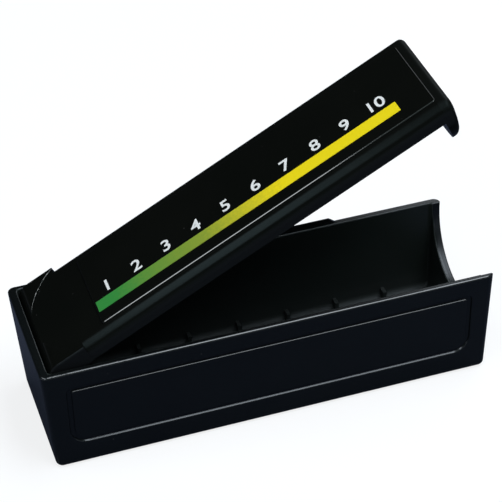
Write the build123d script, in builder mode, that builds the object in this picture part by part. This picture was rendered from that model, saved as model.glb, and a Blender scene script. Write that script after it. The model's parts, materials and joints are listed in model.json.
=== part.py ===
from build123d import *

import os
from math import atan, cos, degrees, radians, sin

# Harmonica case: a moulded tray and a flip-up lid that turns on two trunnions.
# Origin: centre of the tray's underside. +X runs to the free end, +Z is up. Millimetres.

# --- Tray ---
case_length = 119.2  # at the rim
case_width = 38.2  # at the rim
rim_height = 30.9
wall_draft = 0.97  # how far a wall leans in from rim to underside
hinge_end_draft = 1.87  # the same for the outside of the hinge end wall
corner_radius = 1.8  # in plan
underside_radius = 1.6
rim_radius = 0.6  # outer edge
inner_rim_radius = 0.4
floor_thickness = 1.8
side_wall = 1.6
hinge_end_wall = 2.3  # at the rim
free_end_wall = 2.2
floor_fillet = 2.0
cavity_corner_radius = 1.3  # in plan, at the rim

# --- Scooped opening in the free end wall ---
notch_side_margin = 2.1  # from the scoop to the outside of each long wall
notch_centre_drop = 1.9  # below the rim
notch_edge_radius = 0.3

# --- Rear rim: a thin lip on the outer half, the rest lowered ---
rear_rim_drop = 1.5
rear_lip_thickness = 0.8
rear_lip_end_margin = 31.8  # from the free end
rear_lip_slope = 2.0
rear_step_margin = 16.9  # from the hinge end

# --- Panels on the long sides, each outlined by a groove ---
side_panel_end_margin = 5.9  # from the groove to each end of the case
side_panel_rim_margin = 4.7
side_panel_foot_margin = 7.1
side_panel_top_corner = 1.9
side_panel_bottom_corner = 4.7
side_groove_width = 1.4
side_groove_depth = 0.5
side_groove_slope = 0.3  # lean of its outer flank
side_groove_edge_radius = 0.3

# --- Cradle ribs on the floor ---
rib_count = 7
rib_pitch = 14.0
rib_middle_x = 0.9
rib_thickness = 1.0
rib_height = 3.0  # above the floor, against the side walls
rib_floor_height = 0.8
rib_root = 0.8  # sunk into floor and walls
rib_shoulder = 2.3  # width of its raised part against each wall

# --- Hinge ---
hinge_from_end = 7.0
hinge_below_rim = 2.2
trunnion_radius = 0.9
trunnion_play = 0.05  # radial
trunnion_tip_play = 0.15
socket_skin = 0.6  # left outside the blind socket
ear_side_play = 0.45
hinge_end_play = 0.3
open_angle = 27.63  # of the lid in the modelled pose, above closed

# --- Lid ---
lid_depth = 4.7
lid_skin = 1.5
lid_side_play = 0.7
lid_front_radius = 3.0
lid_rear_radius = 2.4
lid_end_radius = 1.6  # all round the free end
lid_overhang = 1.96  # past the tray's free end, to get a finger under
top_pad_rise = 0.45
top_pad_edge_radius = 0.4
top_pad_side_margin = 3.53
top_pad_end_margin = 3.1
top_pad_hinge_margin = 6.6  # from the hinge block
top_pad_corner = 0.8
hinge_arc_radius = 18.1  # of the step in front of the hinge block
hinge_arc_x = 15.6  # its centre, from the pivot
hinge_arc_edge_radius = 0.15
ear_reach = 7.6  # from the pivot towards the free end
ear_thickness = 3.0
ear_edge_radius = 0.5

# --- Thumb tongue that fills the scooped opening ---
tongue_play = 3.2  # left open below it in the scoop when the lid is shut
tongue_thickness = 4.2  # where it leaves the cover
tongue_rake = 9.0  # lean of its outer face, in degrees

# --- Printed stripe ---
stripe_thickness = 0.08
stripe_width = 3.9
stripe_front_margin = 4.05  # each margin is to an edge of the pad
stripe_hinge_margin = 0.6
stripe_end_margin = 8.1

# --- Modelling allowances ---
overrun = 2.0  # how far a cutting shape runs past the surface it cuts
near = 0.01  # tolerance when edges are picked by place

# --- Derived places ---
half_length = case_length / 2
half_width = case_width / 2
draft_angle = degrees(atan(wall_draft / rim_height))
floor_inset = wall_draft * (1 - floor_thickness / rim_height)
cavity_middle_x = (hinge_end_wall - free_end_wall) / 2
cavity_floor_length = case_length - hinge_end_wall - free_end_wall - 2 * floor_inset
cavity_floor_width = case_width - 2 * side_wall - 2 * floor_inset
cradle_width = cavity_floor_width - 2 * rib_shoulder
notch_radius = half_width - notch_side_margin
notch_centre_z = rim_height - notch_centre_drop
rear_lip_end_x = half_length - rear_lip_end_margin
rear_step_start_x = rear_step_margin - half_length

side_panel_length = case_length - 2 * side_panel_end_margin
side_panel_height = rim_height - side_panel_rim_margin - side_panel_foot_margin
side_panel_middle_z = side_panel_foot_margin + side_panel_height / 2

hinge_x = hinge_from_end - half_length
hinge_z = rim_height - hinge_below_rim
axis_inset = wall_draft * hinge_below_rim / rim_height
axis_inner_half_width = half_width - side_wall - axis_inset
axis_outer_half_width = half_width - axis_inset
socket_half_span = axis_outer_half_width - socket_skin
trunnion_half_span = socket_half_span - trunnion_tip_play
ear_half_width = axis_inner_half_width - ear_side_play
trunnion_length = trunnion_half_span - ear_half_width + ear_thickness / 2
ear_radius = hinge_from_end - hinge_end_wall - axis_inset - hinge_end_play

lid_half_width = axis_inner_half_width - lid_side_play
lid_reach = case_length - hinge_from_end + lid_overhang
lid_pad_top = ear_radius
lid_top = lid_pad_top - top_pad_rise
lid_bottom = lid_top - lid_depth
tongue_bottom = notch_centre_z - hinge_z - (notch_radius - tongue_play)
tongue_inner_x = lid_reach - tongue_thickness
top_pad_start_x = ear_reach + top_pad_hinge_margin
top_pad_length = lid_reach - top_pad_end_margin - top_pad_start_x
top_pad_middle_x = top_pad_start_x + top_pad_length / 2
top_pad_width = 2 * (lid_half_width - top_pad_side_margin)
stripe_length = top_pad_length - stripe_hinge_margin - stripe_end_margin
stripe_middle_x = top_pad_start_x + stripe_hinge_margin + stripe_length / 2
stripe_middle_y = stripe_front_margin + stripe_width / 2 - top_pad_width / 2

# Lid planes: x along the lid, away from the pivot, and the lid's own up.
tilt = radians(open_angle)
lid_along = Vector(cos(tilt), 0, sin(tilt))
lid_up = Vector(-sin(tilt), 0, cos(tilt))
pivot = Vector(hinge_x, 0, hinge_z)
lid_plan = Plane(origin=pivot, x_dir=lid_along, z_dir=lid_up)
lid_side = Plane(origin=pivot, x_dir=lid_along, z_dir=(0, -1, 0))
lid_end = Plane(origin=pivot + lid_along * lid_reach, x_dir=(0, 1, 0), z_dir=lid_along)
rake = radians(tongue_rake)
tongue_face = Plane(
    origin=pivot + lid_along * lid_reach + lid_up * lid_top,
    x_dir=(0, 1, 0),
    z_dir=lid_along * cos(rake) - lid_up * sin(rake),
)


def side_panel_plane(side):
    """Plane on the outer face of one long wall; side is -1 for the front, 1 for the rear."""
    lean = wall_draft * (1 - side_panel_middle_z / rim_height)
    return Plane(
        origin=(0, side * (half_width - lean), side_panel_middle_z),
        x_dir=(-side, 0, 0),
        z_dir=(0, side * cos(radians(draft_angle)), -sin(radians(draft_angle))),
    )


def panel_outline(inset):
    """Outline of a side panel's groove, moved in by that much."""
    with BuildSketch(mode=Mode.PRIVATE) as outline:
        Rectangle(side_panel_length - 2 * inset, side_panel_height - 2 * inset)
        fillet(outline.vertices().group_by(Axis.Y)[-1], side_panel_top_corner - inset)
        fillet(outline.vertices().group_by(Axis.Y)[0], side_panel_bottom_corner - inset)
    return outline.sketch


# --- Tray -------------------------------------------------------------------------------
with BuildPart() as base_tray:
    with BuildSketch(Plane.XY):
        with Locations(((hinge_end_draft - wall_draft) / 2, 0)):
            RectangleRounded(
                case_length - hinge_end_draft - wall_draft,
                case_width - 2 * wall_draft,
                corner_radius,
            )
    with BuildSketch(Plane.XY.offset(rim_height)):
        RectangleRounded(case_length, case_width, corner_radius)
    loft()
    fillet(base_tray.faces().sort_by(Axis.Z)[0].edges(), underside_radius)
    fillet(base_tray.faces().sort_by(Axis.Z)[-1].edges(), rim_radius)

    # Side panels, each a pad that is flush with the wall inside its groove.
    for side in (-1, 1):
        face_plane = side_panel_plane(side)
        bed_plane = face_plane.offset(-side_groove_depth)
        with BuildSketch(face_plane):
            add(panel_outline(0))
        with BuildSketch(bed_plane):
            add(panel_outline(side_groove_slope))
        loft(mode=Mode.SUBTRACT)
        with BuildSketch(bed_plane):
            add(panel_outline(side_groove_width))
        extrude(amount=side_groove_depth)
        groove_edges = base_tray.edges().filter_by(
            lambda edge: abs(face_plane.to_local_coords(edge.center()).Z) < near
            and abs(face_plane.to_local_coords(edge.center()).Y)
            < side_panel_height / 2 + near
        )
        fillet(groove_edges, side_groove_edge_radius)

    # Cavity.
    with BuildSketch(Plane.XY.offset(floor_thickness)):
        with Locations((cavity_middle_x, 0)):
            RectangleRounded(
                cavity_floor_length,
                cavity_floor_width,
                cavity_corner_radius - floor_inset,
            )
    extrude(amount=rim_height, taper=-draft_angle, mode=Mode.SUBTRACT)
    floor_edges = base_tray.edges().filter_by(
        lambda edge: abs(edge.center().Z - floor_thickness) < near
    )
    fillet(floor_edges, floor_fillet)

    # Cradle ribs: low bars across the floor that rise against both walls.
    for index in range(rib_count):
        rib_x = rib_middle_x + (index - (rib_count - 1) / 2) * rib_pitch
        with BuildSketch(Plane.YZ.offset(rib_x - rib_thickness / 2)):
            with Locations((0, floor_thickness - rib_root)):
                Rectangle(
                    cavity_floor_width + 2 * rib_root,
                    rib_height + rib_root,
                    align=(Align.CENTER, Align.MIN),
                )
            with Locations((0, floor_thickness + rib_floor_height)):
                Rectangle(
                    cradle_width,
                    rib_height,
                    align=(Align.CENTER, Align.MIN),
                    mode=Mode.SUBTRACT,
                )
        extrude(amount=rib_thickness)

    # Rear rim: lowered past the lip's end, and lowered on its inner half before that.
    rear_wall_y = half_width - rear_lip_thickness
    with BuildSketch(Plane.XZ.offset(-half_width - overrun)):
        with BuildLine():
            Polyline(
                (rear_lip_end_x, rim_height),
                (rear_lip_end_x + rear_lip_slope, rim_height - rear_rim_drop),
                (half_length + overrun, rim_height - rear_rim_drop),
                (half_length + overrun, rim_height + overrun),
                (rear_lip_end_x, rim_height + overrun),
                close=True,
            )
        make_face()
    extrude(amount=side_wall + 2 * overrun, mode=Mode.SUBTRACT)
    with BuildSketch(Plane.XY.offset(rim_height - rear_rim_drop)):
        with Locations((rear_step_start_x, rear_wall_y)):
            Rectangle(
                rear_lip_end_x - rear_step_start_x + rear_lip_slope,
                side_wall + overrun,
                align=(Align.MIN, Align.MAX),
            )
    extrude(amount=rear_rim_drop + overrun, mode=Mode.SUBTRACT)

    # Softened inner edge of the rim, at both of its levels.
    inner_rim_edges = base_tray.edges().filter_by(
        lambda edge: edge.center().Z > rim_height - rear_rim_drop - near
        and abs((edge @ 0).Z - (edge @ 1).Z) < near
        and abs(edge.center().Y) < half_width - side_wall + near
        and edge.center().X > hinge_end_wall - half_length - near
        and edge.center().X < half_length - free_end_wall + near
    )
    fillet(inner_rim_edges, inner_rim_radius)

    # Scooped opening in the free end wall.
    with BuildSketch(Plane.YZ.offset(half_length - free_end_wall - overrun)):
        with Locations((0, notch_centre_z)):
            Circle(notch_radius)
            Rectangle(
                2 * notch_radius, notch_radius, align=(Align.CENTER, Align.MIN)
            )
    extrude(amount=free_end_wall + 2 * overrun, mode=Mode.SUBTRACT)
    scoop_edges = base_tray.edges(Select.LAST).filter_by(
        lambda edge: abs(edge.center().Y) < notch_radius + near
        and abs(edge.tangent_at(0.5).X) < near
    )
    fillet(scoop_edges, notch_edge_radius)

    # The scoop's front corner stops at the flat top of the front wall.
    with BuildSketch(Plane.XY.offset(notch_centre_z)):
        with Locations(
            (half_length + overrun, side_wall - inner_rim_radius - half_width)
        ):
            Rectangle(
                free_end_wall + cavity_corner_radius + overrun,
                half_width,
                align=(Align.MAX, Align.MIN),
            )
    extrude(amount=notch_centre_drop + overrun, mode=Mode.SUBTRACT)

    # Blind sockets for the lid's trunnions.
    with BuildSketch(Plane.XZ.offset(-socket_half_span)):
        with Locations((hinge_x, hinge_z)):
            Circle(trunnion_radius + trunnion_play)
    extrude(amount=2 * socket_half_span, mode=Mode.SUBTRACT)


# --- Lid --------------------------------------------------------------------------------
with BuildPart() as lid:
    # Main cover.
    with BuildSketch(lid_plan.offset(lid_bottom)):
        Rectangle(tongue_inner_x, 2 * lid_half_width, align=(Align.MIN, Align.CENTER))
    extrude(amount=lid_depth)

    # Thumb tongue at the free end, as wide as the cover, round below it and raked outside.
    with BuildSketch(lid_end.offset(-tongue_thickness)):
        with BuildLine():
            Polyline(
                (-lid_half_width, lid_bottom),
                (-lid_half_width, lid_top),
                (lid_half_width, lid_top),
                (lid_half_width, lid_bottom),
            )
            EllipticalCenterArc(
                (0, lid_bottom),
                lid_half_width,
                lid_bottom - tongue_bottom,
                start_angle=180,
                arc_size=180,
            )
        make_face()
    extrude(amount=tongue_thickness)
    split(bisect_by=tongue_face, keep=Keep.BOTTOM)
    for side, radius in ((-1, lid_front_radius), (1, lid_rear_radius)):
        long_edge = lid.edges().filter_by(
            lambda edge: abs(lid_plan.to_local_coords(edge.center()).Z - lid_top) < near
            and abs(edge.center().Y - side * lid_half_width) < near
        )
        fillet(long_edge, radius)
    end_edges = lid.edges().filter_by(
        lambda edge: abs(tongue_face.to_local_coords(edge.center()).Z) < near
    )
    fillet(end_edges, lid_end_radius)

    # Hinge block: a rounded end across the full width, about the pivot.
    with BuildSketch(lid_side.offset(-ear_half_width)):
        Circle(ear_radius)
        Rectangle(ear_reach, lid_pad_top, align=(Align.MIN, Align.MIN))
        Rectangle(ear_reach, -lid_bottom, align=(Align.MIN, Align.MAX))
    extrude(amount=2 * ear_half_width)
    ear_edges = lid.edges().filter_by(
        lambda edge: abs(abs(edge.center().Y) - ear_half_width) < near
        and lid_plan.to_local_coords(edge.center()).Z > lid_bottom + near
        and lid_plan.to_local_coords(edge.center()).X < ear_reach - near
    )
    fillet(ear_edges, ear_edge_radius)
    with BuildSketch(lid_plan.offset(lid_top)):
        with Locations((hinge_arc_x, 0)):
            Circle(hinge_arc_radius)
    extrude(amount=top_pad_rise + overrun, mode=Mode.SUBTRACT)
    step_edges = lid.edges().filter_by(
        lambda edge: edge.geom_type == GeomType.CIRCLE
        and abs(edge.radius - hinge_arc_radius) < near
        and abs(lid_plan.to_local_coords(edge.center()).Z - lid_pad_top) < near
    )
    fillet(step_edges, hinge_arc_edge_radius)

    # Raised pad on the cover.
    with BuildSketch(lid_plan.offset(lid_top)):
        with Locations((top_pad_middle_x, 0)):
            RectangleRounded(top_pad_length, top_pad_width, top_pad_corner)
    extrude(amount=top_pad_rise)
    pad_edges = lid.edges().filter_by(
        lambda edge: abs(lid_plan.to_local_coords(edge.center()).Z - lid_pad_top) < near
        and lid_plan.to_local_coords(edge.center()).X > ear_reach + near
    )
    fillet(pad_edges, top_pad_edge_radius)

    # Hollow under the cover, between the ears and behind the tongue.
    with BuildSketch(lid_plan.offset(lid_bottom)):
        Rectangle(
            tongue_inner_x,
            2 * (lid_half_width - lid_skin),
            align=(Align.MIN, Align.CENTER),
        )
    extrude(amount=lid_depth - lid_skin, mode=Mode.SUBTRACT)
    with BuildSketch(lid_side.offset(ear_thickness - ear_half_width)):
        Circle(ear_radius - lid_skin)
        Rectangle(ear_reach, lid_top - lid_skin, align=(Align.MIN, Align.MIN))
        Rectangle(
            ear_reach + ear_radius - lid_skin,
            2 * ear_radius,
            align=(Align.MIN, Align.MAX),
        )
        with Locations((0, lid_bottom)):
            Rectangle(4 * ear_radius, 2 * ear_radius, align=(Align.CENTER, Align.MAX))
    extrude(amount=2 * (ear_half_width - ear_thickness), mode=Mode.SUBTRACT)

    # Trunnions.
    with BuildSketch(lid_side.offset(-trunnion_half_span)):
        Circle(trunnion_radius)
    extrude(amount=trunnion_length)
    with BuildSketch(lid_side.offset(trunnion_half_span)):
        Circle(trunnion_radius)
    extrude(amount=-trunnion_length)

# --- Printed stripe on the pad ----------------------------------------------------------
with BuildPart() as colour_stripe:
    with BuildSketch(lid_plan.offset(lid_pad_top)):
        with Locations((stripe_middle_x, stripe_middle_y)):
            Rectangle(stripe_length, stripe_width)
    extrude(amount=stripe_thickness)

base_tray.part.label = "base_tray"
lid.part.label = "lid"
colour_stripe.part.label = "colour_stripe"

os.makedirs("parts", exist_ok=True)
export_step(base_tray.part, "parts/base_tray.step")
export_step(lid.part, "parts/lid.step")
export_step(colour_stripe.part, "parts/colour_stripe.step")
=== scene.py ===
"""Hinged harmonica case: finishes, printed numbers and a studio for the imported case."""

import json
import math

import bmesh
import bpy
from bpy.props import FloatProperty, FloatVectorProperty, IntProperty, PointerProperty
from mathutils import Matrix, Vector


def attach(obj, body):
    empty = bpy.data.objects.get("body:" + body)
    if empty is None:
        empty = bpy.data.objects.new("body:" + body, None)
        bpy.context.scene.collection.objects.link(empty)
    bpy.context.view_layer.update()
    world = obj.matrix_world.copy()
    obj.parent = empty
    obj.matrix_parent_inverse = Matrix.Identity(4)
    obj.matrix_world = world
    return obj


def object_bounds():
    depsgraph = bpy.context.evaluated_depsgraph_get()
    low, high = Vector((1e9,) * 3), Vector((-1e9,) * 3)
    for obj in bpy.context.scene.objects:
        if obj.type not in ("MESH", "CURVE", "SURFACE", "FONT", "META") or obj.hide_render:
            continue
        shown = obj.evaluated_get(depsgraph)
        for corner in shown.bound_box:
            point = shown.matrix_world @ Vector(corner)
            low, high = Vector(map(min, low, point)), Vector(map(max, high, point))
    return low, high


bl_info = {
    "name": "Harmonica Case",
    "version": (1, 0, 0),
    "blender": (4, 5, 0),
    "location": "3D View > Sidebar > Harmonica Case",
    "description": "Finishes and prints a hinged harmonica case and sets up its studio",
    "category": "Add Mesh",
}

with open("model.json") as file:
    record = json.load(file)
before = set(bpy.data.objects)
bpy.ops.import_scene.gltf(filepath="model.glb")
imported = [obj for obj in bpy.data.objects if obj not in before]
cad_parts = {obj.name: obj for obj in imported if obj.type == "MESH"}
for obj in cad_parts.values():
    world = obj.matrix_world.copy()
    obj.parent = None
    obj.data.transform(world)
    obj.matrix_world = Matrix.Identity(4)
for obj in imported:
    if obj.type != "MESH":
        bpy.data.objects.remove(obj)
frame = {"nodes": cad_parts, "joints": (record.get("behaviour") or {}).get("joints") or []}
cad_low, cad_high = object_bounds()

# --- Places on the case, in metres ----------------------------------------------------

MM = 0.001
HINGE = frame["joints"][0]
PIVOT = Vector(HINGE["pos_m"])
OPEN_ANGLE = -math.radians(HINGE["range_deg"][0])
LID_ALONG = Vector((math.cos(OPEN_ANGLE), 0.0, math.sin(OPEN_ANGLE)))
LID_UP = Vector((-math.sin(OPEN_ANGLE), 0.0, math.cos(OPEN_ANGLE)))


def lid_reach(node, direction):
    """Lowest and highest place of a lid node's points along a direction of the lid."""
    places = [(v.co - PIVOT).dot(direction) for v in frame["nodes"][node].data.vertices]
    return min(places), max(places)


STRIPE_START, STRIPE_END = lid_reach("colour_stripe", LID_ALONG)
STRIPE_REAR = lid_reach("colour_stripe", Vector((0.0, 1.0, 0.0)))[1]
PAD_START = STRIPE_START - 0.6 * MM
PAD_END = STRIPE_END + 8.1 * MM
PAD_TOP = lid_reach("colour_stripe", LID_UP)[0]
LID_END = lid_reach("lid", LID_ALONG)[1]
LID_SIDE = max(
    v.co.y
    for v in frame["nodes"]["lid"].data.vertices
    if (v.co - PIVOT).dot(LID_ALONG) > STRIPE_START
)
RIM_SIDE = cad_high[1] - 1.1 * MM
INNER_END = cad_high[0] - 2.1 * MM
INNER_SIDE = cad_high[1] - 1.3 * MM
SCOOP_FACE = INNER_END - PIVOT.x

# Bands between two places, over which one finish passes into the next. Those along the
# case and in height are counted from the hinge, those across from the middle.
PAD_GLOSS_BAND = PAD_TOP - 0.35 * MM, PAD_TOP - 0.30 * MM
PAD_END_BAND = 0.5 * MM, 0.6 * MM
LID_TIP_BAND = LID_END - 3.2 * MM, LID_END - 2.6 * MM
# Over the lid's flanks a lighter, bluish tone is painted on as painted sheen
LID_FLANK_BAND = LID_SIDE - 0.25 * MM, LID_SIDE - 0.05 * MM
LID_FRONT_BAND = 2.2 * MM - LID_SIDE, 2.6 * MM - LID_SIDE
RIM_BAND = RIM_SIDE, RIM_SIDE + 0.1 * MM
RIM_HEIGHT_BAND = -20.0 * MM, -3.0 * MM
SCOOP_BAND = SCOOP_FACE, SCOOP_FACE + 0.5 * MM
SCOOP_SIDE_BAND = INNER_SIDE, INNER_SIDE - 2.0 * MM
FLOOR_BAND = 9.0 * MM - PIVOT.z, 5.0 * MM - PIVOT.z

# --- Finishes -------------------------------------------------------------------------

# Scales of noise, in features per metre, and the bands of a noise that show
HAZE_BAND = 0.42, 0.72
HAIRLINE_SCALE = 110.0
HAIRLINE_BAND = 0.66, 0.74
HAIRLINE_RUNS = (0.35, 30.0), (-0.8, 24.0), (1.35, 38.0)  # turn and stretch of each
SPECK_SCALE = 420.0
SPECK_BAND = 0.10, 0.05
SPECK_CHOICE_BAND = 0.93, 0.97
TONE_SCALE = 22.0
TONE_BAND = 0.35, 0.65
GRAIN_SCALE = 1400.0
GRAIN_SHARE = 0.1
COVER_SCALE = 1100.0
COVER_BAND = 0.55, 0.8
MOTTLE_SCALE = 900.0
MOTTLE_BAND = 0.3, 0.7
UPWARD_BAND = 0.05, 0.2  # of the upward part of a surface's direction

# The second tone of each plastic, then its painted light: painted fill light inside the
# tray, painted sheen on the lid's flanks
TRAY_TONE_AND_PAINTED_FILL = (0.0045, 0.0058, 0.0060, 1.0), (0.0098, 0.0134, 0.0120, 1.0)
LID_TONE_AND_PAINTED_SHEEN = (0.0046, 0.0051, 0.0044, 1.0), (0.0085, 0.0095, 0.0108, 1.0)
TRAY_TINT = (0.84, 0.90, 1.0, 1.0)
LID_TINT = (0.66, 0.93, 1.0, 1.0)
TRAY_RIPPLE = 0.10
LID_RIPPLE = 0.08
RIPPLE_DEPTH = 0.2 * MM
DUST = (0.5, 0.5, 0.5, 1.0)
DUST_COVER = 0.05
PLASTIC_IOR = 1.5
POLISH_IOR = 2.0
POLISH_ROUGHNESS = 0.09
TIP_DULLNESS = 0.2  # roughness added at the lid's free end
FLOOR_DULLNESS = 0.25  # roughness added at the tray's floor
PAD_END_SHARE = 0.15  # of the polish, on the pad's short edges
RIM_FOOT_SHARE = 0.25  # of the polish, low on the tray's rounded corners
THIN_INK = (0.45, 0.46, 0.48, 1.0)
THIN_INK_SHARE = 0.35
INK_ROUGHNESS = 0.30, 0.45
INK_SPECULAR = 0.3
STRIPE_STOPS = 0.06, 0.36, 0.62
DIGIT_HEIGHT_SHARE = 0.72  # of the font size
DIGIT_BOLDNESS = 0.02  # of the digit's height
DIGIT_CURVE_STEPS = 6

# --- Studio ---------------------------------------------------------------------------

# Each lamp's name, place, size and the setting that holds its power
SOFTBOXES = (
    ("softbox_right", (0.28, -0.22, 0.95), (0.42, 0.95), "right_light"),
    ("softbox_left", (-0.58, -0.25, 0.92), (0.24, 1.40), "left_light"),
    ("softbox_back", (0.68, 0.64, 0.67), (0.46, 0.69), "back_light"),
)
LAMP_COLOUR = (0.94, 0.98, 1.0)
FLOOR_PAINT = (0.26, 0.27, 0.29, 1.0)
FLOOR_MIRRORED = (0.058, 0.068, 0.105, 1.0)  # the paint that mirrored rays find
FLOOR_GLOW = 0.77  # seen by the camera only
HORIZON = (0.85, 0.92, 1.0, 1.0)
WALLS = (0.045, 0.06, 0.06, 1.0)
CEILING = (0.84, 1.02, 1.02)
BACKDROP = (1.0, 1.0, 1.0, 1.0)
ROOM_HEIGHTS = 0.02, 0.22, 0.62, 0.72  # horizon, foot and top of the walls, ceiling
REAR_BAND = 0.0, 0.5
REAR_SHARE = 0.12  # of the room's light, from behind the case
SENSOR_WIDTH = 36.0  # millimetres
VIEW_TARGET = Vector((0.000455, 0.0, 0.04057))


# --- Settings -------------------------------------------------------------------------


def colour(name, description, default):
    """A colour setting."""
    return FloatVectorProperty(
        name=name,
        description=description,
        subtype="COLOR",
        size=4,
        min=0.0,
        max=1.0,
        default=default,
    )


def factor(name, description, default):
    """A setting from 0 to 1."""
    return FloatProperty(
        name=name,
        description=description,
        subtype="FACTOR",
        min=0.0,
        max=1.0,
        default=default,
    )


def length(name, description, default, **limits):
    """A length setting, in metres."""
    return FloatProperty(
        name=name, description=description, unit="LENGTH", default=default, **limits
    )


def angle(name, description, degrees):
    """An angle setting, with its default in degrees."""
    return FloatProperty(
        name=name,
        description=description,
        subtype="ANGLE",
        default=math.radians(degrees),
    )


def amount(name, description, default):
    """A plain number setting."""
    return FloatProperty(name=name, description=description, default=default)


class CasePlasticSettings(bpy.types.PropertyGroup):
    """Moulded plastic of the tray and the lid"""

    tray_colour: colour(
        "Tray Colour",
        "Body colour of the tray's plastic",
        (0.0032, 0.0042, 0.0044, 1.0),
    )
    lid_colour: colour(
        "Lid Colour",
        "Body colour of the lid's plastic",
        (0.0034, 0.0039, 0.0034, 1.0),
    )
    satin_roughness: factor(
        "Satin Roughness", "Roughness of the walls and the lid's margin", 0.22
    )
    inner_roughness: factor(
        "Inner Roughness", "Roughness of the inside of the tray and its scoop", 0.38
    )
    gloss_roughness: factor(
        "Gloss Roughness", "Roughness of the lid's smooth pad", 0.14
    )
    tray_specular: factor(
        "Tray Specular Level",
        "Strength of the tray's reflections, 0.5 being common plastic",
        0.5,
    )
    lid_specular: factor(
        "Lid Specular Level",
        "Strength of the lid's reflections, 0.5 being common plastic",
        0.075,
    )
    edge_polish: factor(
        "Edge Polish", "How far handling has polished the edge of the lid's pad", 1.0
    )
    rim_polish: factor(
        "Rim Polish",
        "How far handling has polished the tray's rim, less towards its foot",
        0.31,
    )
    ripple_size: length(
        "Ripple Size",
        "Width of the shallow waves that moulding leaves in the skin",
        0.006,
        min=0.0005,
        max=0.02,
    )


class CasePrintSettings(bpy.types.PropertyGroup):
    """Printed stripe and numbers on the lid"""

    stripe_start: colour(
        "Stripe Start",
        "Ink colour at the hinge end of the stripe",
        (0.036, 0.262, 0.050, 1.0),
    )
    stripe_middle: colour(
        "Stripe Middle",
        "Ink colour a third of the way along the stripe",
        (0.270, 0.350, 0.037, 1.0),
    )
    stripe_end: colour(
        "Stripe End",
        "Ink colour over the outer part of the stripe",
        (0.900, 0.715, 0.010, 1.0),
    )
    number_colour: colour(
        "Number Colour", "Ink colour of the hole numbers", (0.82, 0.83, 0.84, 1.0)
    )
    number_count: IntProperty(
        name="Number Count",
        description="How many hole numbers stand in a row over the stripe",
        min=1,
        max=16,
        default=10,
    )
    number_height: length(
        "Number Height", "Height of a printed number", 0.0040, min=0.001, max=0.01
    )
    number_gap: length(
        "Number Gap",
        "Clear space between the stripe and the numbers",
        0.0015,
        min=0.0,
        max=0.01,
    )
    ink_thickness: length(
        "Ink Thickness",
        "Height of the printed ink above the lid",
        0.00005,
        min=0.00001,
        max=0.001,
    )


class CaseStageSettings(bpy.types.PropertyGroup):
    """Camera, floor and lamps"""

    view_azimuth: angle(
        "View Azimuth",
        "Turn of the camera from the front towards the hinge end",
        16.946,
    )
    view_elevation: angle("View Elevation", "Height angle of the camera", 37.336)
    view_roll: angle(
        "View Roll", "Turn of the camera about its own line of sight", -2.0205
    )
    view_distance: length(
        "View Distance", "Distance from the camera to the point it looks at", 0.4799
    )
    lens: amount("Lens", "Focal length on a 36 mm sensor, in millimetres", 136.216)
    floor_size: length("Floor Size", "Side of the square floor", 8.0)
    right_light: amount(
        "Right Light", "Power of the long softbox over the free end, in watts", 6.5
    )
    left_light: amount(
        "Left Light", "Power of the long softbox over the hinge end, in watts", 4.7
    )
    back_light: amount(
        "Back Light", "Power of the softbox behind the free end, in watts", 2.0
    )
    ceiling_light: amount("Ceiling Light", "Brightness of the pale ceiling", 0.32)


# --- Node helpers ---------------------------------------------------------------------


def fill(tree, node, inputs):
    """Links or sets the named inputs of a node."""
    for name, value in inputs.items():
        if isinstance(value, bpy.types.NodeSocket):
            tree.links.new(value, node.inputs[name])
        else:
            node.inputs[name].default_value = value


def add_node(tree, kind, inputs=None, **settings):
    """A node of that kind, with its settings and the values or links of its inputs."""
    made = tree.nodes.new(kind)
    for name, value in settings.items():
        setattr(made, name, value)
    fill(tree, made, inputs or {})
    return made


def maths(tree, operation, a, b=0.0):
    """The output of one Math node."""
    made = add_node(tree, "ShaderNodeMath", {0: a, 1: b}, operation=operation)
    return made.outputs[0]


def spread(tree, value, low, high, to_low=0.0, to_high=1.0):
    """The value, taken from one range to another and held inside it."""
    inputs = {
        "Value": value,
        "From Min": low,
        "From Max": high,
        "To Min": to_low,
        "To Max": to_high,
    }
    return add_node(tree, "ShaderNodeMapRange", inputs, clamp=True).outputs["Result"]


def blend(tree, share, first, second):
    """The mix of two colours."""
    inputs = {"Factor": share, "A": first, "B": second}
    return add_node(tree, "ShaderNodeMix", inputs, data_type="RGBA").outputs["Result"]


def noise(tree, place, scale, detail, **more):
    """The value of a Noise Texture at that place."""
    inputs = {"Vector": place, "Scale": scale, "Detail": detail, **more}
    return add_node(tree, "ShaderNodeTexNoise", inputs).outputs["Fac"]


def split(tree, vector):
    """The three parts of a vector."""
    return add_node(tree, "ShaderNodeSeparateXYZ", {"Vector": vector}).outputs


def turned(tree, vector, tilt):
    """The three parts of a vector, turned by the tilt of its piece."""
    inputs = {"Vector": vector, "Angle": tilt}
    made = add_node(tree, "ShaderNodeVectorRotate", inputs, rotation_type="Y_AXIS")
    return split(tree, made.outputs["Vector"])


def object_place(tree):
    """The place of the shaded point in its object."""
    return add_node(tree, "ShaderNodeTexCoord").outputs["Object"]


def colour_ramp(tree, value, stops):
    """The colour of a ramp whose stops are pairs of a place and a colour."""
    made = add_node(tree, "ShaderNodeValToRGB", {"Fac": value})
    elements = made.color_ramp.elements
    first, *others, last = stops
    elements[0].position, elements[0].color = first
    elements[1].position, elements[1].color = last
    for place, shade in others:
        elements.new(place).color = shade
    return made.outputs["Color"]


def new_material(name):
    """A node material with its Principled BSDF."""
    material = bpy.data.materials.new(name)
    material.use_nodes = True
    return material, material.node_tree, material.node_tree.nodes["Principled BSDF"]


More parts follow.
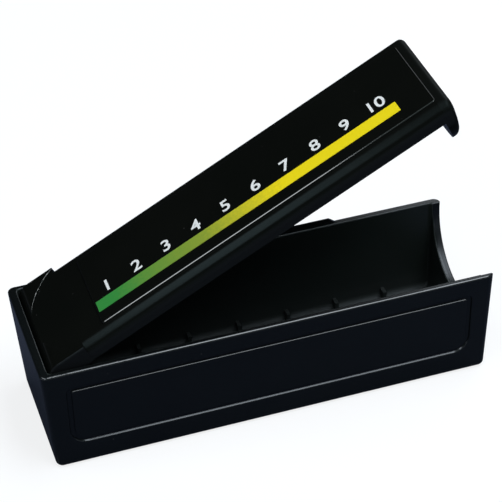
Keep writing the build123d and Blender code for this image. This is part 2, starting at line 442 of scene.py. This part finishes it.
def group_with(name, inputs, outputs):
    """An empty shader node group with float inputs and the named outputs."""
    tree = bpy.data.node_groups.new(name, "ShaderNodeTree")
    kind = "NodeSocketFloat"
    for label, value in inputs.items():
        socket = tree.interface.new_socket(name=label, in_out="INPUT", socket_type=kind)
        socket.default_value = value
    for label in outputs:
        tree.interface.new_socket(name=label, in_out="OUTPUT", socket_type=kind)
    given = tree.nodes.new("NodeGroupInput").outputs
    return tree, given, tree.nodes.new("NodeGroupOutput")


# --- Shared effects -------------------------------------------------------------------


def moulded_skin_group():
    """Ripple, haze, hairlines and dust that moulding and handling leave on plastic."""
    name = "Moulded Skin"
    if name in bpy.data.node_groups:
        return bpy.data.node_groups[name]
    tree, given, result = group_with(
        name,
        {
            "Ripple Scale": 160.0,
            "Haze Scale": 45.0,
            "Haze": 0.03,
            "Hairlines": 0.03,
            "Base Roughness": 0.1,
        },
        ("Height", "Roughness", "Dust", "Tone"),
    )
    place = object_place(tree)
    ripple = noise(tree, place, given["Ripple Scale"], 1.0)
    haze_noise = noise(
        tree, place, given["Haze Scale"], 5.0, Roughness=0.6, Distortion=0.8
    )
    haze = spread(tree, haze_noise, *HAZE_BAND)

    hairlines = None
    for turn, stretch in HAIRLINE_RUNS:
        lined = add_node(
            tree,
            "ShaderNodeMapping",
            {
                "Vector": place,
                "Rotation": (0.6 * turn, 0.4 * turn, turn),
                "Scale": (1.0, stretch, stretch),
            },
        ).outputs["Vector"]
        streak = noise(tree, lined, HAIRLINE_SCALE, 2.0, Roughness=0.7)
        line = spread(tree, streak, *HAIRLINE_BAND)
        if hairlines is None:
            hairlines = line
        else:
            hairlines = maths(tree, "MAXIMUM", hairlines, line)

    roughness = given["Base Roughness"]
    for mark, share in ((haze, given["Haze"]), (hairlines, given["Hairlines"])):
        added = maths(tree, "MULTIPLY", mark, share)
        roughness = maths(tree, "ADD", roughness, added)

    cells = add_node(
        tree,
        "ShaderNodeTexVoronoi",
        {"Vector": place, "Scale": SPECK_SCALE, "Randomness": 1.0},
        feature="F1",
    ).outputs
    speck = spread(tree, cells["Distance"], *SPECK_BAND)
    drawn = add_node(tree, "ShaderNodeSeparateColor", {"Color": cells["Color"]})
    chosen = spread(tree, drawn.outputs["Red"], *SPECK_CHOICE_BAND)
    fill(
        tree,
        result,
        {
            "Height": ripple,
            "Roughness": roughness,
            "Dust": maths(tree, "MULTIPLY", speck, chosen),
            "Tone": noise(tree, place, TONE_SCALE, 3.0),
        },
    )
    return tree


def polished_edge_group():
    """Mask of the rounded edges that face up, with the place of the shaded point."""
    name = "Polished Edges"
    if name in bpy.data.node_groups:
        return bpy.data.node_groups[name]
    tree, given, result = group_with(
        name,
        {"Tilt": 0.0, "Flat Limit": 0.95, "Round Limit": 0.86},
        ("Mask", "Along", "Across", "Height", "Inside"),
    )
    coords = add_node(tree, "ShaderNodeTexCoord").outputs
    facing = turned(tree, coords["Normal"], given["Tilt"])
    squareness = maths(tree, "ABSOLUTE", facing["Z"])
    for axis in "YX":
        part = maths(tree, "ABSOLUTE", facing[axis])
        squareness = maths(tree, "MAXIMUM", part, squareness)
    rounded = spread(tree, squareness, given["Flat Limit"], given["Round Limit"])
    upward = spread(tree, facing["Z"], *UPWARD_BAND)
    from_pivot = add_node(
        tree,
        "ShaderNodeVectorMath",
        {0: coords["Object"], 1: PIVOT},
        operation="SUBTRACT",
    ).outputs["Vector"]
    place = turned(tree, from_pivot, given["Tilt"])
    room = split(tree, coords["Object"])
    within = [
        maths(tree, "LESS_THAN", maths(tree, "ABSOLUTE", room[axis]), limit)
        for axis, limit in (("Y", INNER_SIDE), ("X", INNER_END))
    ]
    fill(
        tree,
        result,
        {
            "Mask": maths(tree, "MULTIPLY", rounded, upward),
            "Along": place["X"],
            "Across": place["Y"],
            "Height": place["Z"],
            "Inside": maths(tree, "MULTIPLY", *within),
        },
    )
    return tree


# --- Materials ------------------------------------------------------------------------


def lid_zones(tree, edges, settings):
    """Roughness, painted sheen and polish of the lid.

    The pad is glossy, the flanks take a lighter, bluish tone that is painted sheen, the
    tip is rougher, and the pad's front edge is bright.
    """
    along, across = edges["Along"], edges["Across"]
    raised = spread(tree, edges["Height"], *PAD_GLOSS_BAND)
    skin = spread(
        tree, raised, 0.0, 1.0, settings.satin_roughness, settings.gloss_roughness
    )
    tip = spread(tree, along, *LID_TIP_BAND, 0.0, TIP_DULLNESS)
    flank = maths(tree, "ABSOLUTE", across)
    from_ends = [
        maths(tree, "ABSOLUTE", maths(tree, "SUBTRACT", along, end))
        for end in (PAD_START, PAD_END)
    ]
    worn = spread(
        tree,
        maths(tree, "MINIMUM", *from_ends),
        *PAD_END_BAND,
        PAD_END_SHARE * settings.edge_polish,
        settings.edge_polish,
    )
    front = spread(tree, across, *LID_FRONT_BAND)
    return (
        maths(tree, "ADD", skin, tip),
        # Mask of the painted sheen, a lighter tone on the lid's flanks
        spread(tree, flank, *LID_FLANK_BAND),
        maths(tree, "MULTIPLY", maths(tree, "MULTIPLY", front, raised), worn),
    )


def tray_zones(tree, edges, settings):
    """Roughness, painted fill light and polish of the tray.

    The inside is rougher, most of all at the floor, and takes a lighter tone as painted
    fill light;
    the scoop is as rough as the inside, and the rim is polished from outside.
    """
    inside = edges["Inside"]
    flank = maths(tree, "ABSOLUTE", edges["Across"])
    scoop = maths(
        tree,
        "MULTIPLY",
        spread(tree, flank, *SCOOP_SIDE_BAND),
        spread(tree, edges["Along"], *SCOOP_BAND),
    )
    skin = spread(
        tree,
        maths(tree, "MAXIMUM", inside, scoop),
        0.0,
        1.0,
        settings.satin_roughness,
        settings.inner_roughness,
    )
    low = spread(tree, edges["Height"], *FLOOR_BAND, 0.0, FLOOR_DULLNESS)
    worn = spread(
        tree,
        edges["Height"],
        *RIM_HEIGHT_BAND,
        RIM_FOOT_SHARE * settings.rim_polish,
        settings.rim_polish,
    )
    return (
        maths(tree, "ADD", skin, maths(tree, "MULTIPLY", inside, low)),
        # The inside is also the mask of the painted fill light, a lighter tone
        inside,
        maths(tree, "MULTIPLY", spread(tree, flank, *RIM_BAND), worn),
    )


def case_plastic(name, settings, zones, tones, specular, tint, tilt, ripple):
    """Black plastic in two tones, with a lighter third tone painted on as painted light.
    """
    material, tree, shader = new_material(name)
    edges = add_node(tree, "ShaderNodeGroup", node_tree=polished_edge_group())
    edges.inputs["Tilt"].default_value = tilt
    roughness, painted_light_share, polish = zones(tree, edges.outputs, settings)
    skin = add_node(
        tree,
        "ShaderNodeGroup",
        {"Base Roughness": roughness, "Ripple Scale": 1.0 / settings.ripple_size},
        node_tree=moulded_skin_group(),
    ).outputs
    tone = blend(tree, spread(tree, skin["Tone"], *TONE_BAND), tones[0], tones[1])
    # Painted light: the third tone goes over the tray's inside as painted fill light and
    # over the lid's flanks as painted sheen
    tone_with_painted_light = blend(tree, painted_light_share, tone, tones[2])
    dust = maths(tree, "MULTIPLY", skin["Dust"], DUST_COVER)
    bump = add_node(
        tree,
        "ShaderNodeBump",
        {"Height": skin["Height"], "Strength": ripple, "Distance": RIPPLE_DEPTH},
    )
    fill(
        tree,
        shader,
        {
            "Base Color": blend(tree, dust, tone_with_painted_light, DUST),
            "Roughness": skin["Roughness"],
            "Normal": bump.outputs["Normal"],
            "IOR": PLASTIC_IOR,
            "Specular IOR Level": specular,
            "Specular Tint": tint,
            "Coat Weight": maths(tree, "MULTIPLY", edges.outputs["Mask"], polish),
            "Coat Roughness": POLISH_ROUGHNESS,
            "Coat IOR": POLISH_IOR,
        },
    )
    return material


def finish_ink(tree, shader, place, ink):
    """Gives an ink its colour and the fine mottling of screen printing."""
    mottle = noise(tree, place, MOTTLE_SCALE, 3.0)
    fill(
        tree,
        shader,
        {
            "Base Color": ink,
            "Roughness": spread(tree, mottle, *MOTTLE_BAND, *INK_ROUGHNESS),
            "Specular IOR Level": INK_SPECULAR,
        },
    )


def stripe_ink(settings):
    """Ink that runs from green at the hinge end to yellow at the free end."""
    material, tree, shader = new_material("stripe_ink_blend")
    place = object_place(tree)
    along_lid = add_node(
        tree,
        "ShaderNodeMapping",
        {
            "Vector": place,
            "Location": PIVOT + LID_ALONG * STRIPE_START,
            "Rotation": (0.0, -OPEN_ANGLE, 0.0),
            "Scale": (STRIPE_END - STRIPE_START,) * 3,
        },
        vector_type="TEXTURE",
    ).outputs["Vector"]
    grain = maths(tree, "SUBTRACT", noise(tree, place, GRAIN_SCALE, 1.0), 0.5)
    shift = maths(tree, "MULTIPLY", grain, GRAIN_SHARE)
    share = maths(tree, "ADD", split(tree, along_lid)["X"], shift)
    inks = settings.stripe_start, settings.stripe_middle, settings.stripe_end
    ink = colour_ramp(tree, share, list(zip(STRIPE_STOPS, inks)))
    finish_ink(tree, shader, place, ink)
    return material


def number_ink(settings):
    """White ink, a little thin in places so that the plastic greys it."""
    material, tree, shader = new_material("number_ink_white")
    place = object_place(tree)
    cover = noise(tree, place, COVER_SCALE, 4.0)
    thin = spread(tree, cover, *COVER_BAND, 0.0, THIN_INK_SHARE)
    finish_ink(tree, shader, place, blend(tree, thin, settings.number_colour, THIN_INK))
    return material


def dress(node, material):
    """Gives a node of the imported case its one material."""
    slots = frame["nodes"][node].data.materials
    slots.clear()
    slots.append(material)


# --- Operators ------------------------------------------------------------------------


class CASE_OT_finish_tray(bpy.types.Operator):
    """Gives the tray its satin black plastic"""

    bl_idname = "harmonica_case.finish_tray"
    bl_label = "Finish Tray"

    def execute(self, context):
        settings = context.scene.case_plastic
        material = case_plastic(
            "tray_black_satin",
            settings,
            tray_zones,
            tones=(settings.tray_colour, *TRAY_TONE_AND_PAINTED_FILL),
            # The last tone is painted fill light over the tray's inside
            specular=settings.tray_specular,
            tint=TRAY_TINT,
            tilt=0.0,
            ripple=TRAY_RIPPLE,
        )
        dress("base_tray", material)
        return {"FINISHED"}


class CASE_OT_finish_lid(bpy.types.Operator):
    """Gives the lid its satin black plastic with a glossy pad"""

    bl_idname = "harmonica_case.finish_lid"
    bl_label = "Finish Lid"

    def execute(self, context):
        settings = context.scene.case_plastic
        material = case_plastic(
            "lid_black_satin",
            settings,
            lid_zones,
            # The last tone is painted sheen on the lid's flanks
            tones=(settings.lid_colour, *LID_TONE_AND_PAINTED_SHEEN),
            specular=settings.lid_specular,
            tint=LID_TINT,
            tilt=OPEN_ANGLE,
            ripple=LID_RIPPLE,
        )
        dress("lid", material)
        return {"FINISHED"}


class CASE_OT_print_stripe(bpy.types.Operator):
    """Gives the stripe its blended green and yellow ink"""

    bl_idname = "harmonica_case.print_stripe"
    bl_label = "Print Stripe"

    def execute(self, context):
        dress("colour_stripe", stripe_ink(context.scene.case_print))
        return {"FINISHED"}


class CASE_OT_print_numbers(bpy.types.Operator):
    """Prints the hole numbers in a row over the stripe"""

    bl_idname = "harmonica_case.print_numbers"
    bl_label = "Print Numbers"

    def execute(self, context):
        settings = context.scene.case_print
        ink = number_ink(settings)
        row = STRIPE_REAR + settings.number_gap
        pitch = (STRIPE_END - STRIPE_START) / settings.number_count
        for index in range(settings.number_count):
            middle = STRIPE_START + (index + 0.5) * pitch
            piece = self.printed_number(context, index + 1, middle, row, settings)
            piece.data.materials.append(ink)
            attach(piece, "lid")
        return {"FINISHED"}

    def printed_number(self, context, number, middle, row, settings):
        """One number as a thin flat mesh on the lid, its foot on the row."""
        curve = bpy.data.curves.new(f"number_{number}_outline", "FONT")
        curve.body = str(number)
        curve.align_x = "CENTER"
        curve.size = settings.number_height / DIGIT_HEIGHT_SHARE
        curve.offset = DIGIT_BOLDNESS * settings.number_height
        curve.resolution_u = DIGIT_CURVE_STEPS
        curve.extrude = settings.ink_thickness / 2
        drawn = bpy.data.objects.new(f"number_{number}_drawn", curve)
        context.collection.objects.link(drawn)
        context.view_layer.update()
        mesh = bpy.data.meshes.new_from_object(
            drawn.evaluated_get(context.evaluated_depsgraph_get())
        )
        bpy.data.objects.remove(drawn)
        mesh.name = f"number_{number}"
        height = PAD_TOP + settings.ink_thickness / 2
        base = PIVOT + LID_ALONG * middle + LID_UP * height
        base.y = row
        place = Matrix((LID_ALONG, (0.0, 1.0, 0.0), LID_UP)).transposed().to_4x4()
        place.translation = base
        mesh.transform(place)
        piece = bpy.data.objects.new(f"number_{number}", mesh)
        context.collection.objects.link(piece)
        return piece


class CASE_OT_build_stage(bpy.types.Operator):
    """Sets up the floor, the surroundings, the lamps and the camera"""

    bl_idname = "harmonica_case.build_stage"
    bl_label = "Build Stage"

    def execute(self, context):
        settings = context.scene.case_stage
        self.floor(context, settings)
        self.room(context, settings)
        for name, place, size, power in SOFTBOXES:
            self.softbox(context, name, place, size, getattr(settings, power))
        self.camera(context, settings)
        context.scene.view_settings.view_transform = "Standard"
        return {"FINISHED"}

    def floor(self, context, settings):
        """A plain pale floor that glows for the camera and mirrors darker."""
        mesh = bpy.data.meshes.new("floor")
        shape = bmesh.new()
        bmesh.ops.create_grid(
            shape, x_segments=1, y_segments=1, size=settings.floor_size / 2
        )
        shape.to_mesh(mesh)
        shape.free()
        floor = bpy.data.objects.new("floor", mesh)
        context.collection.objects.link(floor)
        material, tree, shader = new_material("floor_pale")
        tree.nodes.remove(shader)
        ray = add_node(tree, "ShaderNodeLightPath").outputs
        mirrored = maths(
            tree, "MAXIMUM", ray["Is Glossy Ray"], ray["Is Transmission Ray"]
        )
        paint = blend(tree, mirrored, FLOOR_PAINT, FLOOR_MIRRORED)
        matt = add_node(tree, "ShaderNodeBsdfDiffuse", {"Color": paint})
        strength = maths(tree, "MULTIPLY", ray["Is Camera Ray"], FLOOR_GLOW)
        glow = add_node(tree, "ShaderNodeEmission", {"Strength": strength})
        both = add_node(
            tree,
            "ShaderNodeAddShader",
            {0: matt.outputs["BSDF"], 1: glow.outputs["Emission"]},
        )
        surface = {"Surface": both.outputs["Shader"]}
        fill(tree, tree.nodes["Material Output"], surface)
        mesh.materials.append(material)

    def room(self, context, settings):
        """A white background, mirrored as a pale horizon, dim walls and a ceiling."""
        world = bpy.data.worlds.new("room")
        world.use_nodes = True
        context.scene.world = world
        tree = world.node_tree
        way = add_node(tree, "ShaderNodeTexCoord").outputs["Generated"]
        heading = split(tree, way)
        ceiling = (*(part * settings.ceiling_light for part in CEILING), 1.0)
        shades = HORIZON, WALLS, WALLS, ceiling
        shade = colour_ramp(tree, heading["Z"], list(zip(ROOM_HEIGHTS, shades)))
        to_camera = add_node(tree, "ShaderNodeLightPath").outputs["Is Camera Ray"]
        behind = spread(tree, heading["Y"], *REAR_BAND, 1.0, REAR_SHARE)
        fill(
            tree,
            tree.nodes["Background"],
            {
                "Color": blend(tree, to_camera, shade, BACKDROP),
                "Strength": maths(tree, "MAXIMUM", to_camera, behind),
            },
        )

    def softbox(self, context, name, place, size, power):
        """A rectangular lamp that faces the case, its second side along the depth."""
        lamp = bpy.data.lights.new(name, "AREA")
        lamp.shape = "RECTANGLE"
        lamp.size, lamp.size_y = size
        lamp.energy = power
        lamp.color = LAMP_COLOUR
        holder = bpy.data.objects.new(name, lamp)
        holder.location = place
        x, y, z = place
        holder.rotation_euler = (-math.atan2(y, z), math.atan2(x, z), 0.0)
        context.collection.objects.link(holder)

    def camera(self, context, settings):
        """The camera, at the front and a little towards the hinge end."""
        azimuth, elevation = settings.view_azimuth, settings.view_elevation
        back = Vector(
            (
                -math.sin(azimuth) * math.cos(elevation),
                -math.cos(azimuth) * math.cos(elevation),
                math.sin(elevation),
            )
        )
        right = Vector((0.0, 0.0, 1.0)).cross(back).normalized()
        up = back.cross(right)
        turn = Matrix((right, up, back)).transposed()
        turn = turn @ Matrix.Rotation(settings.view_roll, 3, "Z")
        place = Matrix.Translation(VIEW_TARGET + back * settings.view_distance)
        lens = bpy.data.cameras.new("camera")
        lens.sensor_width = SENSOR_WIDTH
        lens.lens = settings.lens
        camera = bpy.data.objects.new("camera", lens)
        camera.matrix_world = place @ turn.to_4x4()
        context.collection.objects.link(camera)
        context.scene.camera = camera


# --- Panel and registration -----------------------------------------------------------

PANEL_SECTIONS = (
    ("Plastic", "case_plastic", (CASE_OT_finish_tray, CASE_OT_finish_lid)),
    ("Print", "case_print", (CASE_OT_print_stripe, CASE_OT_print_numbers)),
    ("Stage", "case_stage", (CASE_OT_build_stage,)),
)


class CASE_PT_panel(bpy.types.Panel):
    """Steps and settings of the harmonica case"""

    bl_label = "Harmonica Case"
    bl_space_type = "VIEW_3D"
    bl_region_type = "UI"
    bl_category = "Harmonica Case"

    def draw(self, context):
        for title, settings, steps in PANEL_SECTIONS:
            box = self.layout.box()
            box.label(text=title)
            group = getattr(context.scene, settings)
            for name in group.bl_rna.properties.keys():
                if name not in ("rna_type", "name"):
                    box.prop(group, name)
            for step in steps:
                box.operator(step.bl_idname)


CLASSES = (
    CasePlasticSettings,
    CasePrintSettings,
    CaseStageSettings,
    CASE_OT_finish_tray,
    CASE_OT_finish_lid,
    CASE_OT_print_stripe,
    CASE_OT_print_numbers,
    CASE_OT_build_stage,
    CASE_PT_panel,
)


def register():
    for cls in CLASSES:
        bpy.utils.register_class(cls)
    bpy.types.Scene.case_plastic = PointerProperty(type=CasePlasticSettings)
    bpy.types.Scene.case_print = PointerProperty(type=CasePrintSettings)
    bpy.types.Scene.case_stage = PointerProperty(type=CaseStageSettings)


def unregister():
    del bpy.types.Scene.case_stage
    del bpy.types.Scene.case_print
    del bpy.types.Scene.case_plastic
    for cls in reversed(CLASSES):
        bpy.utils.unregister_class(cls)


def main():
    register()
    bpy.ops.harmonica_case.finish_tray()
    bpy.ops.harmonica_case.finish_lid()
    bpy.ops.harmonica_case.print_stripe()
    bpy.ops.harmonica_case.print_numbers()
    bpy.ops.harmonica_case.build_stage()


if __name__ == "__main__":
    main()
